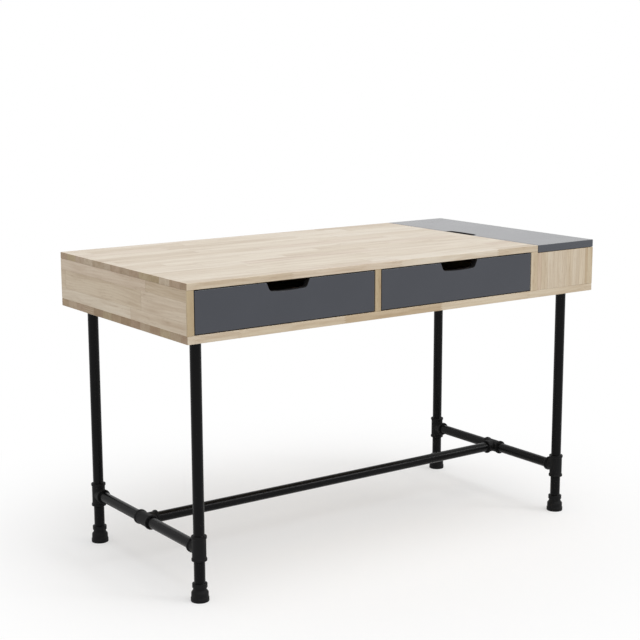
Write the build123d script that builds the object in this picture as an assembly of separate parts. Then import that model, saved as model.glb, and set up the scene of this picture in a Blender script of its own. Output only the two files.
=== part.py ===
"""Writing desk: a butcher-block case with two drawers and a lidded bin, on a frame of threaded pipe.

Millimetres. The origin is on the floor under the middle of the case, +Z is up, +X runs to the right
end of the desk, and the drawers face -Y. Every piece is written to parts/ as a STEP file of its own.
"""
from build123d import *
import os

# ---- the whole desk ----
desk_width = 1256.0
desk_depth = 630.0
desk_height = 760.0
case_height = 137.0

# ---- boards of the case ----
top_thickness = 16.0
bottom_thickness = 19.0
lid_thickness = 19.0
side_thickness = 18.0
back_thickness = 16.0
center_divider_thickness = 17.5
right_divider_thickness = 23.0
compartment_front_thickness = 18.0
board_edge_bevel = 0.8

# ---- layout across the case ----
lid_width = 201.4
lid_seam = 1.0
center_divider_middle = -99.45
bumper_height = 1.0
bumper_size = 10.0
bumper_inset = 13.0

# ---- finger notch, the same in both drawer fronts and in the lid ----
notch_mouth = 120.0
notch_floor = 102.0
notch_depth = 22.7
notch_bow = 2.4
notch_corner = 11.0

# ---- drawers ----
drawer_front_thickness = 18.0
drawer_gap = 2.0
drawer_board = 12.0
drawer_box_lift = 10.0
drawer_box_headroom = 18.0
drawer_box_tail_room = 86.0
drawer_bottom_thickness = 6.0
drawer_groove_depth = 6.0
drawer_groove_lift = 8.0
groove_play = 0.25
drawer_edge_bevel = 0.5

# ---- ball-bearing runners: a case rail, a drawer rail nested in it, and a ball cage between ----
runner_height = 35.0
runner_width = 12.7
runner_setback = 3.0
runner_end_margin = 7.0
runner_steel = 1.2
travel_share_of_runner = 0.75
lip_wrap_of_ball = 0.33
cage_steel = 0.6
running_gap = 0.3

# ---- lid hinges ----
hinge_length = 45.0
hinge_inset = 90.0
hinge_leaf_width = 15.0
hinge_leaf_thickness = 1.2
hinge_leaf_gap = 0.4
knuckle_radius = 3.0
knuckle_play = 0.3
hinge_pin_radius = 1.25
hinge_pin_play = 0.05
mortise_play = 0.2

# ---- pipe and fittings, three-quarter inch iron pipe ----
pipe_radius = 13.35
pipe_wall = 2.9
thread_play = 0.15
socket_depth = 14.0
leg_inset_x = 55.0
leg_inset_y = 60.5
stretcher_height = 128.0
tee_reach = 30.0
tee_run_wall = 3.3
tee_branch_wall = 2.7
tee_rim_rise = 1.8
tee_rim_width = 6.0

# ---- feet: reducing couplings, wide end down ----
foot_height = 43.0
foot_collar_wall = 4.5
foot_collar_width = 12.0
foot_taper_width = 8.0
foot_barrel_wall = 7.9

# ---- plates let in flush with the underside of the case, the legs welded to them ----
plate_size = 84.0
plate_thickness = 6.0
plate_corner = 10.0
plate_play = 0.2

# ---- positions that follow from the sizes above ----
case_left, case_right = -desk_width / 2, desk_width / 2
case_front, case_back = -desk_depth / 2, desk_depth / 2
case_floor = desk_height - case_height
inside_floor = case_floor + bottom_thickness
top_underside = desk_height - top_thickness
lid_underside = desk_height - lid_thickness
rim_height = lid_underside - bumper_height
back_inside = case_back - back_thickness

lid_left = case_right - lid_width
top_right = lid_left - lid_seam
right_divider_left = top_right - right_divider_thickness
inside_left = case_left + side_thickness
inside_right = case_right - side_thickness
center_divider_left = center_divider_middle - center_divider_thickness / 2
center_divider_right = center_divider_middle + center_divider_thickness / 2
compartment_front_inside = case_front + compartment_front_thickness

drawer_box_front = case_front + drawer_front_thickness
drawer_box_floor = inside_floor + drawer_box_lift
drawer_box_ceiling = top_underside - drawer_box_headroom
drawer_box_back = back_inside - drawer_box_tail_room
runner_front = drawer_box_front + runner_setback
runner_length = drawer_box_back - runner_end_margin - runner_front
runner_middle_height = (drawer_box_floor + drawer_box_ceiling) / 2
drawer_travel = travel_share_of_runner * runner_length
cage_length = runner_length - drawer_travel

pipe_bore_radius = pipe_radius - pipe_wall
socket_radius = pipe_radius + thread_play
tee_rim_radius = socket_radius + tee_run_wall + tee_rim_rise

leg_x = desk_width / 2 - leg_inset_x
leg_y = desk_depth / 2 - leg_inset_y
tee_floor = stretcher_height - tee_reach
tee_ceiling = stretcher_height + tee_reach

hinge_axis_x = case_right
hinge_axis_height = (lid_underside + rim_height) / 2

corner_names = {
    "front_left": (-1, -1),
    "front_right": (1, -1),
    "back_left": (-1, 1),
    "back_right": (1, 1),
}

MIN = (Align.MIN, Align.MIN, Align.MIN)
UPRIGHT = (Align.CENTER, Align.CENTER, Align.MIN)
ALONG_Y = Rot(-90, 0, 0)
ALONG_X = Rot(0, 90, 0)


# ---- shared shapes ----
def board(x_span, y_span, z_span, bevel=0.0):
    """A straight board between three pairs of limits, with its edges eased."""
    size = [high - low for low, high in (x_span, y_span, z_span)]
    slab = Pos(x_span[0], y_span[0], z_span[0]) * Box(*size, align=MIN)
    return chamfer(slab.edges(), bevel) if bevel else slab


def notch_outline():
    """The finger notch: mouth centred on the origin, bowed floor towards -Y, open past the edge."""
    half_mouth, half_floor = notch_mouth / 2, notch_floor / 2
    floor_end = notch_bow - notch_depth
    past = board_edge_bevel + drawer_gap
    flare = half_mouth - past * (half_mouth - half_floor) / floor_end
    walls = Polyline((half_floor, floor_end), (flare, past), (-flare, past), (-half_floor, floor_end))
    bow = ThreePointArc((-half_floor, floor_end), (0, -notch_depth), (half_floor, floor_end))
    outline = make_face([walls, bow])
    return fillet(outline.vertices().group_by(Axis.Y)[0], notch_corner)


def tube(start, end):
    """A length of pipe between two points on one axis."""
    path = Vector(*end) - Vector(*start)
    place = Plane(origin=start, z_dir=path)
    solid = Cylinder(pipe_radius, path.length, align=UPRIGHT)
    return place * (solid - Cylinder(pipe_bore_radius, path.length, align=UPRIGHT))


# ---- case ----
def make_case():
    """The fixed boards. The top runs over the left side, and the lid runs over the right one."""
    front_to_back = (case_front, case_back)
    bay_height = (inside_floor, top_underside)
    rim = (inside_floor, rim_height)
    return {
        "top_panel": board((case_left, top_right), front_to_back, (top_underside, desk_height), board_edge_bevel),
        "bottom_panel": board((case_left, case_right), front_to_back, (case_floor, inside_floor), board_edge_bevel)
        - [Pos(x_side * leg_x, y_side * leg_y, 0) * make_plate(plate_play) for x_side, y_side in corner_names.values()],
        "left_side_panel": board((case_left, inside_left), front_to_back, bay_height),
        "right_side_panel": board((inside_right, case_right), front_to_back, rim) - hinge_seat(),
        "center_divider": board((center_divider_left, center_divider_right), (case_front, back_inside), bay_height),
        "right_divider": board((right_divider_left, top_right), front_to_back, bay_height),
        "compartment_front_panel": board((top_right, inside_right), (case_front, compartment_front_inside), rim),
        "drawer_bay_back_panel": board((inside_left, right_divider_left), (back_inside, case_back), bay_height),
        "compartment_back_panel": board((top_right, inside_right), (back_inside, case_back), rim),
    }


# ---- lid and its hinges ----
def hinge_middles():
    """The middle of each hinge along the right edge of the lid."""
    reach = desk_depth / 2 - hinge_inset
    return (-reach, reach)


def leaf_span(side):
    """Lowest and highest points of a leaf: side is 1 on the lid and -1 on the case."""
    near = hinge_axis_height + side * hinge_leaf_gap / 2
    far = near + side * hinge_leaf_thickness
    return (min(near, far), max(near, far))


def hinge_leaf(middle, side):
    """One leaf with its share of the knuckles: the middle one on the lid, the outer two on the case."""
    knuckle_pitch = hinge_length / 3
    knuckle = knuckle_pitch - knuckle_play
    leaf = board(
        (hinge_axis_x - hinge_leaf_width, hinge_axis_x - knuckle_radius - knuckle_play),
        (middle - hinge_length / 2, middle + hinge_length / 2),
        leaf_span(side),
    )
    for place in (0,) if side > 0 else (-1, 1):
        along = middle + place * knuckle_pitch
        leaf += board(
            (hinge_axis_x - hinge_leaf_width, hinge_axis_x), (along - knuckle / 2, along + knuckle / 2), leaf_span(side)
        )
        leaf += Pos(hinge_axis_x, along, hinge_axis_height) * ALONG_Y * Cylinder(knuckle_radius, knuckle)
    bore = Cylinder(hinge_pin_radius + hinge_pin_play, hinge_length)
    return leaf - Pos(hinge_axis_x, middle, hinge_axis_height) * ALONG_Y * bore


def hinge_pin(middle):
    """The pin through all three knuckles of a hinge."""
    pin = Cylinder(hinge_pin_radius, hinge_length)
    return Pos(hinge_axis_x, middle, hinge_axis_height) * ALONG_Y * pin


def hinge_seat():
    """What the lid and the right side panel give up: leaf mortises and a round relief for knuckles."""
    room = hinge_length + 2 * mortise_play
    seat = None
    for middle in hinge_middles():
        relief = Cylinder(knuckle_radius + knuckle_play, room)
        cut = Pos(hinge_axis_x, middle, hinge_axis_height) * ALONG_Y * relief
        cut += board(
            (hinge_axis_x - hinge_leaf_width - mortise_play, hinge_axis_x + knuckle_radius),
            (middle - hinge_length / 2 - mortise_play, middle + hinge_length / 2 + mortise_play),
            (leaf_span(-1)[0], leaf_span(1)[1]),
        )
        seat = cut if seat is None else seat + cut
    return seat


def make_lid():
    """The lid, notched on its left edge, with two butt hinges along its right edge."""
    panel = board((lid_left, case_right), (case_front, case_back), (lid_underside, desk_height), board_edge_bevel)
    notch = extrude(Rot(0, 0, 90) * notch_outline(), lid_thickness)
    panel -= Pos(lid_left, 0, lid_underside) * notch
    bumper = Box(bumper_size, bumper_size, bumper_height, align=UPRIGHT)
    front_rim = (case_front + compartment_front_inside) / 2
    back_rim = (back_inside + case_back) / 2
    return {
        "lid_panel": panel - hinge_seat(),
        "lid_hinge_leaves": Compound([hinge_leaf(middle, 1) for middle in hinge_middles()]),
        "case_hinge_leaves": Compound([hinge_leaf(middle, -1) for middle in hinge_middles()]),
        "hinge_pins": Compound([hinge_pin(middle) for middle in hinge_middles()]),
        "lid_bumpers": Compound([Pos(lid_left + bumper_inset, y, rim_height) * bumper for y in (front_rim, back_rim)]),
    }


# ---- drawers ----
def make_drawer_box(name, opening):
    """Front, two sides, back and a bottom let into grooves, hung between the runners."""
    left, right = opening
    box_left, box_right = left + runner_width, right - runner_width
    box_back = drawer_box_back
    sides_height = (drawer_box_floor, drawer_box_ceiling)
    groove_floor = drawer_box_floor + drawer_groove_lift
    groove_height = (groove_floor - groove_play, groove_floor + drawer_bottom_thickness + groove_play)
    groove = board(
        (box_left + drawer_board - drawer_groove_depth - groove_play,
         box_right - drawer_board + drawer_groove_depth + groove_play),
        (drawer_box_front - drawer_groove_depth - groove_play,
         box_back - drawer_board + drawer_groove_depth + groove_play),
        groove_height,
    )
    front = board(
        (left + drawer_gap, right - drawer_gap),
        (case_front, drawer_box_front),
        (inside_floor + drawer_gap, top_underside - drawer_gap),
        board_edge_bevel,
    )
    notch = extrude(Rot(90, 0, 0) * notch_outline(), drawer_front_thickness)
    front -= Pos((left + right) / 2, drawer_box_front, top_underside - drawer_gap) * notch
    box_depth = (drawer_box_front, box_back)
    left_side = board((box_left, box_left + drawer_board), box_depth, sides_height, drawer_edge_bevel)
    right_side = board((box_right - drawer_board, box_right), box_depth, sides_height, drawer_edge_bevel)
    back = board(
        (box_left + drawer_board, box_right - drawer_board),
        (box_back - drawer_board, box_back),
        sides_height,
        drawer_edge_bevel,
    )
    bottom = board(
        (box_left + drawer_board - drawer_groove_depth, box_right - drawer_board + drawer_groove_depth),
        (drawer_box_front - drawer_groove_depth, box_back - drawer_board + drawer_groove_depth),
        (groove_floor, groove_floor + drawer_bottom_thickness),
    )
    return {
        f"{name}_drawer_front": front - groove,
        f"{name}_drawer_left_side": left_side - groove,
        f"{name}_drawer_right_side": right_side - groove,
        f"{name}_drawer_back": back - groove,
        f"{name}_drawer_bottom": bottom,
    }


def folded_strip(points, thickness, length):
    """Sheet folded along a line of points in the X-Z plane, running along +Y from Y = 0."""
    return extrude(Rot(90, 0, 0) * trace(Polyline(*points), thickness), -length)


def make_runner_pieces():
    """One runner of the left-hand kind, web on X = 0, its front end at Y = 0, centred on Z = 0."""
    half_height = (runner_height - runner_steel) / 2
    case_web = runner_steel / 2
    drawer_web = runner_width - runner_steel / 2
    cage_web = runner_steel + running_gap + cage_steel / 2
    drawer_lip_x = cage_web + cage_steel / 2 + running_gap + runner_steel / 2
    case_lip_x = runner_width - drawer_lip_x
    ball_room = (case_lip_x - drawer_lip_x - runner_steel) / 2
    ball_track = half_height - runner_steel / 2 - ball_room
    drawer_flange = ball_track - ball_room - runner_steel / 2
    drawer_lip = ball_track - cage_steel / 2 - running_gap
    case_lip = ball_track - lip_wrap_of_ball * ball_room
    case_rail = folded_strip(
        [
            (case_lip_x, case_lip),
            (case_lip_x, half_height),
            (case_web, half_height),
            (case_web, -half_height),
            (case_lip_x, -half_height),
            (case_lip_x, -case_lip),
        ],
        runner_steel,
        runner_length,
    )
    drawer_rail = folded_strip(
        [
            (drawer_lip_x, drawer_lip),
            (drawer_lip_x, drawer_flange),
            (drawer_web, drawer_flange),
            (drawer_web, -drawer_flange),
            (drawer_lip_x, -drawer_flange),
            (drawer_lip_x, -drawer_lip),
        ],
        runner_steel,
        runner_length,
    )
    cage_edge = case_lip_x - runner_steel / 2 - running_gap
    cage = folded_strip(
        [(cage_edge, ball_track), (cage_web, ball_track), (cage_web, -ball_track), (cage_edge, -ball_track)],
        cage_steel,
        cage_length,
    )
    cage = Pos(0, (runner_length - cage_length) / 2, 0) * cage
    return {"case_rails": case_rail, "drawer_rails": drawer_rail, "ball_cages": cage}


def make_runners(name, opening):
    """The pair of runners of one drawer, the right one the mirror of the left."""
    left, right = opening
    middle = Plane.YZ.offset((left + right) / 2)
    nodes = {}
    for piece, solid in make_runner_pieces().items():
        on_left = Pos(left, runner_front, runner_middle_height) * solid
        nodes[f"{name}_{piece}"] = Compound([on_left, mirror(on_left, middle)])
    return nodes


# ---- pipe frame ----
def turned(*outline):
    """A solid turned about Z from points of radius and height, closed along the axis."""
    start, end = outline[0][1], outline[-1][1]
    section = make_face(Polyline((0, start), *outline, (0, end), close=True))
    return revolve(Rot(90, 0, 0) * section, Axis.Z)


def fitting_arm(reach, body_radius):
    """One arm of a tee, along +Z from its centre, thickened to a rim at its mouth."""
    return turned((body_radius, 0), (body_radius, reach - tee_rim_width), (tee_rim_radius, reach))


def make_tee():
    """A tee with its run along Z and its branch along +X, bored through for the pipes."""
    run_arm = fitting_arm(tee_reach, socket_radius + tee_run_wall)
    branch_arm = fitting_arm(tee_reach, socket_radius + tee_branch_wall)
    tee = run_arm + Rot(180, 0, 0) * run_arm + ALONG_X * branch_arm
    tee -= Cylinder(socket_radius, 2 * tee_reach)
    return tee - ALONG_X * Cylinder(socket_radius, tee_reach, align=UPRIGHT)


def make_foot():
    """A reducing coupling, wide end down, bored through for the pipe in its upper end."""
    collar_floor = foot_height - foot_collar_width
    barrel_radius = socket_radius + foot_barrel_wall
    collar_radius = socket_radius + foot_collar_wall
    foot = turned(
        (barrel_radius, 0),
        (barrel_radius, collar_floor - foot_taper_width),
        (collar_radius, collar_floor),
        (collar_radius, foot_height),
    )
    return foot - Cylinder(socket_radius, foot_height, align=UPRIGHT)


def make_plate(play=0.0):
    """A square steel plate with cut corners, flush with the underside of the case, its outline grown by play."""
    size = plate_size + 2 * play
    plate = Pos(0, 0, case_floor) * Box(size, size, plate_thickness, align=UPRIGHT)
    return chamfer(plate.edges().filter_by(Axis.Z), plate_corner)


def make_frame():
    """Legs, feet, plates and tees at four corners, side stretchers, and one long stretcher."""
    tee, foot, plate = make_tee(), make_foot(), make_plate()
    nodes, feet, nipples, tees, plates = {}, [], [], [], []
    stretchers = {"left": [], "right": []}
    for name, (x_side, y_side) in corner_names.items():
        x, y = x_side * leg_x, y_side * leg_y
        feet.append(Pos(x, y, 0) * foot)
        plates.append(Pos(x, y, 0) * plate)
        nipples.append(tube((x, y, foot_height - socket_depth), (x, y, tee_floor + socket_depth)))
        nodes[f"{name}_leg"] = tube((x, y, tee_ceiling - socket_depth), (x, y, case_floor))
        tees.append(Pos(x, y, stretcher_height) * Rot(0, 0, -90 * y_side) * tee)
        near = y - y_side * (tee_reach - socket_depth)
        far = y_side * (tee_reach - socket_depth)
        stretcher = tube((x, near, stretcher_height), (x, far, stretcher_height))
        stretchers["left" if x_side < 0 else "right"].append(stretcher)
    facing = {-1: ALONG_Y, 1: ALONG_Y * Rot(0, 0, 180)}
    middle_tees = [Pos(side * leg_x, 0, stretcher_height) * turn * tee for side, turn in facing.items()]
    reach = leg_x - tee_reach + socket_depth
    nodes |= {f"{side}_stretchers": Compound(pair) for side, pair in stretchers.items()}
    nodes["long_stretcher"] = tube((-reach, 0, stretcher_height), (reach, 0, stretcher_height))
    nodes["feet"] = Compound(feet)
    nodes["foot_nipples"] = Compound(nipples)
    nodes["leg_tees"] = Compound(tees)
    nodes["middle_tees"] = Compound(middle_tees)
    nodes["leg_plates"] = Compound(plates)
    return nodes


def make_desk():
    """Every node of the desk by name."""
    bays = {
        "left": (inside_left, center_divider_left),
        "right": (center_divider_right, right_divider_left),
    }
    nodes = make_case() | make_lid() | make_frame()
    for name, opening in bays.items():
        nodes |= make_drawer_box(name, opening) | make_runners(name, opening)
    return nodes


def main():
    """Write one STEP file per node."""
    os.makedirs("parts", exist_ok=True)
    for name, shape in make_desk().items():
        export_step(shape, f"parts/{name}.step")


main()
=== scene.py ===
"""Looks of a writing desk: a butcher-block case with two drawers and a lidded bin, on threaded pipe.

Metres, in the frame of the CAD model: the floor is at Z = 0, the drawers face -Y, and the lidded bin
is at the +X end. The drawer boxes and the rails are the CAD solids with new finishes. The boards,
fronts, lid, hinges and ball cages are copies of them, worked on further. Pipes, cast fittings, plates,
screws, balls and bumpers are modelled here from their sizes.
"""
import logging
import math
from contextlib import contextmanager
from dataclasses import dataclass
from enum import Enum
from typing import Any, Callable, Iterator, Sequence

import bpy
from mathutils import Matrix, Vector

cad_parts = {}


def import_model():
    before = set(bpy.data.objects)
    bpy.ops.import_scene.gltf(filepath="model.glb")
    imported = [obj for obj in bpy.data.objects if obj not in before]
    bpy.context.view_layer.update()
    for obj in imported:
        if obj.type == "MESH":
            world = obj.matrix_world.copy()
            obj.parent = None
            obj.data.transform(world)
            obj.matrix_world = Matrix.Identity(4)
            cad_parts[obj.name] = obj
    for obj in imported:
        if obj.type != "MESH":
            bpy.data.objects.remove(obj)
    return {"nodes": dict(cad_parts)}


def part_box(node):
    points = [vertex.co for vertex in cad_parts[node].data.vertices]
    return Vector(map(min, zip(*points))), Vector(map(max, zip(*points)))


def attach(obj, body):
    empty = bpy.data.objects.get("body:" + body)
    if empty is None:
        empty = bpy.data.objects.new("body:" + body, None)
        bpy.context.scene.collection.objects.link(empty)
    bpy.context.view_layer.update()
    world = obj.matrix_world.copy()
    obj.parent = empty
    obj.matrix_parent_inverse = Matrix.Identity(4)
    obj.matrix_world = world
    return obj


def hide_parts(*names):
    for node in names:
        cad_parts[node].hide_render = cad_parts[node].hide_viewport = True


LOG = logging.getLogger("desk")
MM = 0.001

Settings = dict[str, Any]
Outline = Sequence[tuple[float, float]]
Colour = tuple[float, float, float, float]
Triple = tuple["Value", "Value", "Value"]


class Axis(Enum):
    """An axis of the frame, by its place in a vector."""

    X = 0
    Y = 1
    Z = 2

    @property
    def vector(self) -> Vector:
        """The unit vector along the axis."""
        return Vector([1.0 if axis is self else 0.0 for axis in Axis])


class Slot(Enum):
    """The record's material slots, one for each finish of the new pieces."""

    PIPE = "black_pipe"
    CASTING = "black_casting"
    ZINC = "zinc_steel"
    HINGE = "hinge_steel"
    BUMPER = "clear_bumper"
    LACQUER = "slate_lacquer"
    WOOD = "washed_rubberwood"


def tone(red: float, green: float, blue: float) -> Colour:
    """Turn a display colour into the linear colour that shaders work in.

    Args:
        red, green, blue: display values from 0 to 255.

    Returns:
        The linear colour with full alpha.
    """
    white, toe_end, toe_slope, lift, gamma = 255, 0.04045, 12.92, 0.055, 2.4
    linear = []
    for share in (red / white, green / white, blue / white):
        linear.append(share / toe_slope if share <= toe_end else ((share + lift) / (1 + lift)) ** gamma)
    return (*linear, 1.0)


# ---------------------------------------------------------------- shader building
class Value:
    """A socket of a shader node that takes part in arithmetic."""

    def __init__(self, graph: "Graph", node: bpy.types.Node, socket: bpy.types.NodeSocket) -> None:
        """Wrap an output.

        Args:
            graph: the tree that the node is in.
            node: the node.
            socket: the output.
        """
        self.graph = graph
        self.node = node
        self.socket = socket

    def part(self, name: str) -> "Value":
        """Another output of the same node, by name."""
        return Value(self.graph, self.node, self.node.outputs[name])

    def __add__(self, other: Any) -> "Value":
        """self + other"""
        return self.graph.math("ADD", self, other)

    __radd__ = __add__

    def __mul__(self, other: Any) -> "Value":
        """self * other"""
        return self.graph.math("MULTIPLY", self, other)

    __rmul__ = __mul__

    def __sub__(self, other: Any) -> "Value":
        """self - other"""
        return self.graph.math("SUBTRACT", self, other)

    def __rsub__(self, other: Any) -> "Value":
        """other - self"""
        return self.graph.math("SUBTRACT", other, self)

    def __truediv__(self, other: Any) -> "Value":
        """self / other"""
        return self.graph.math("DIVIDE", self, other)

    def floor(self) -> "Value":
        """The whole number below the value."""
        return self.graph.math("FLOOR", self)

    def size(self) -> "Value":
        """The value without its sign."""
        return self.graph.math("ABSOLUTE", self)

    def to_whole(self) -> "Value":
        """How far the value is from the nearest whole number."""
        return 0.5 - (self.graph.math("FRACT", self) - 0.5).size()

    def zigzag(self, reach: float) -> "Value":
        """The value folded back and forth between 0 and reach."""
        return self.graph.math("PINGPONG", self, reach)

    def step(self, low: float, high: float) -> "Value":
        """A smooth step that is 0 below low and 1 above high, or the other way if low is the higher."""
        inputs = {"Value": self, "From Min": low, "From Max": high}
        return self.graph.node("ShaderNodeMapRange", {"interpolation_type": "SMOOTHSTEP"}, inputs)


class Graph:
    """The node tree of a material or a world."""

    def __init__(self, owner: bpy.types.Material | bpy.types.World) -> None:
        """Start an empty tree.

        Args:
            owner: the material or the world that it belongs to.
        """
        owner.use_nodes = True
        self.owner = owner
        self.tree = owner.node_tree
        self.tree.nodes.clear()

    def node(
        self, kind: str, settings: Settings | None = None, inputs: dict | None = None, output: Any = 0
    ) -> Value:
        """Add a node.

        Args:
            kind: the node's type.
            settings: attributes that are set first; "stops" fills a colour ramp.
            inputs: numbers, colours or Values for its sockets, by name or place.
            output: the name or place of the output to hand back.

        Returns:
            That output as a Value.
        """
        made = self.tree.nodes.new(kind)
        for name, value in (settings or {}).items():
            if name == "stops":
                self._fill_ramp(made.color_ramp, value)
            else:
                setattr(made, name, value)
        for key, value in (inputs or {}).items():
            if isinstance(value, Value):
                self.tree.links.new(value.socket, made.inputs[key])
            else:
                made.inputs[key].default_value = value
        return Value(self, made, made.outputs[output])

    @staticmethod
    def _fill_ramp(ramp: bpy.types.ColorRamp, stops: Sequence[tuple[float, Colour]]) -> None:
        """Give a colour ramp its stops.

        Args:
            ramp: the ramp, as it comes with its node.
            stops: places from 0 to 1, each with its colour.
        """
        while len(ramp.elements) < len(stops):
            ramp.elements.new(1.0)
        for element, (place, colour) in zip(ramp.elements, stops):
            element.position = place
            element.color = colour

    def close(self, kind: str, shader: Value) -> bpy.types.Material | bpy.types.World:
        """Lead a shader to the tree's output.

        Args:
            kind: type of the output node.
            shader: what the owner shows.

        Returns:
            The finished owner.
        """
        output = self.tree.nodes.new(kind)
        self.tree.links.new(shader.socket, output.inputs["Surface"])
        return self.owner

    def math(self, operation: str, *operands: Any) -> Value:
        """One Math node on Values or numbers."""
        return self.node("ShaderNodeMath", {"operation": operation}, dict(enumerate(operands)))

    def mix(self, factor: Any, first: Any, second: Any, blend: str = "MIX") -> Value:
        """Blend two colours.

        Args:
            factor: how far the result is from first to second.
            first, second: colours or Values.
            blend: how the second colour goes on the first.

        Returns:
            The blended colour.
        """
        factor_socket, first_socket, second_socket, colour_output = 0, 6, 7, 2
        inputs = {factor_socket: factor, first_socket: first, second_socket: second}
        settings = {"data_type": "RGBA", "blend_type": blend}
        return self.node("ShaderNodeMix", settings, inputs, colour_output)

    def tint(self, colour: Value, shade: Colour, where: Value, strength: float) -> Value:
        """Cover a colour with a shade where a mask says, at a strength from 0 to 1."""
        return self.mix(where * strength, colour, shade)

    def stain(self, colour: Value, shade: Any, where: Value) -> Value:
        """Multiply a colour by a shade where a mask says."""
        return self.mix(where, colour, self.mix(1.0, colour, shade, "MULTIPLY"))

    def vector(self, x: Any, y: Any, z: Any) -> Value:
        """A vector put together from its parts."""
        return self.node("ShaderNodeCombineXYZ", None, {0: x, 1: y, 2: z})

    def length(self, vector: Value) -> Value:
        """How long a vector is."""
        return self.node("ShaderNodeVectorMath", {"operation": "LENGTH"}, {0: vector}, "Value")

    def _coordinates(self, output: str) -> Triple:
        """X, Y and Z of one of the object's texture coordinates."""
        parts = self.node("ShaderNodeSeparateXYZ", None, {0: self.node("ShaderNodeTexCoord", output=output)})
        return parts.part("X"), parts.part("Y"), parts.part("Z")

    def place(self) -> Triple:
        """X, Y and Z of the shaded point in the object, in metres."""
        return self._coordinates("Object")

    def facing(self) -> Triple:
        """X, Y and Z of the surface's own direction in the object."""
        return self._coordinates("Normal")

    def spot(self) -> Value:
        """The shaded point as a vector, for noise that is alike in all directions."""
        return self.vector(*self.place())

    def drawn_out(self, run: Axis, along: float, across: float) -> Value:
        """The shaded point as a vector, for noise with that many waves per metre along and across a run."""
        scales = [along if axis == run else across for axis in Axis]
        return self.vector(*[value * scale for value, scale in zip(self.place(), scales)])

    def noise(self, vector: Value, scale: float = 1.0, detail: float = 2.0, roughness: float = 0.5) -> Value:
        """Smooth noise from 0 to 1 at a number of waves per metre of the vector."""
        inputs = {"Vector": vector, "Scale": scale, "Detail": detail, "Roughness": roughness}
        return self.node("ShaderNodeTexNoise", None, inputs)

    def chance(self, vector: Value) -> Triple:
        """Draw three random numbers from 0 to 1.

        Args:
            vector: names the cell that they hold for.

        Returns:
            The three numbers.
        """
        colour = self.node("ShaderNodeTexWhiteNoise", {"noise_dimensions": "3D"}, {"Vector": vector}, "Color")
        parts = self.node("ShaderNodeSeparateColor", None, {0: colour})
        return parts.part("Red"), parts.part("Green"), parts.part("Blue")

    def seen(self) -> Value:
        """1 for what the camera sees, directly or in a gloss or through something clear, and 0 for light."""
        path = self.node("ShaderNodeLightPath", output="Is Camera Ray")
        return self.math("MINIMUM", path + path.part("Is Glossy Ray") + path.part("Is Transmission Ray"), 1.0)

    def relief(self, height: Value, depth: float, strength: float) -> Value:
        """A bump from a height of 0 to 1 that stands for depth metres."""
        return self.node("ShaderNodeBump", None, {"Strength": strength, "Distance": depth, "Height": height})

    def surface(self, constants: dict[str, Any], **varying: Value) -> bpy.types.Material:
        """Close the graph with a principled surface.

        Args:
            constants: values that are the same all over, by socket name.
            varying: base, roughness and normal as Values.

        Returns:
            The finished material.
        """
        sockets = {"base": "Base Color", "roughness": "Roughness", "normal": "Normal"}
        inputs = constants | {sockets[name]: value for name, value in varying.items()}
        shader = self.node("ShaderNodeBsdfPrincipled", None, inputs)
        return self.close("ShaderNodeOutputMaterial", shader)


# ---------------------------------------------------------------- finishes
@dataclass(frozen=True)
class Fibres:
    """Noise in a stave, drawn out along its grain and moved by its luck.

    Attributes:
        along, across: waves per metre along the grain, and across and through it.
        moves: how many drifts it is moved along, across and through.
        detail, roughness: how fine and how rough the noise is.
        start, full: noise at which the figure starts, and at which it is full.
    """

    along: float
    across: float
    moves: tuple[float, float, float] = (1.0, 0.0, 0.0)
    detail: float = 1.0
    roughness: float = 0.5
    start: float = 0.0
    full: float = 1.0

    def noise(self, graph: Graph, place: Triple, drift: Value) -> Value:
        """Make the plain noise.

        Args:
            graph: the wood's node tree.
            place: the shaded point along, across and through the stave.
            drift: how far the stave's luck moves it at a time.

        Returns:
            Noise from 0 to 1.
        """
        scales = (self.along, self.across, self.across)
        moved = [value * scale + drift * times for value, scale, times in zip(place, scales, self.moves)]
        return graph.noise(graph.vector(*moved), detail=self.detail, roughness=self.roughness)

    def figure(self, graph: Graph, place: Triple, drift: Value) -> Value:
        """The figure that the noise draws, from 0 to 1, with the arguments of noise."""
        return self.noise(graph, place, drift).step(self.start, self.full)


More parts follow.
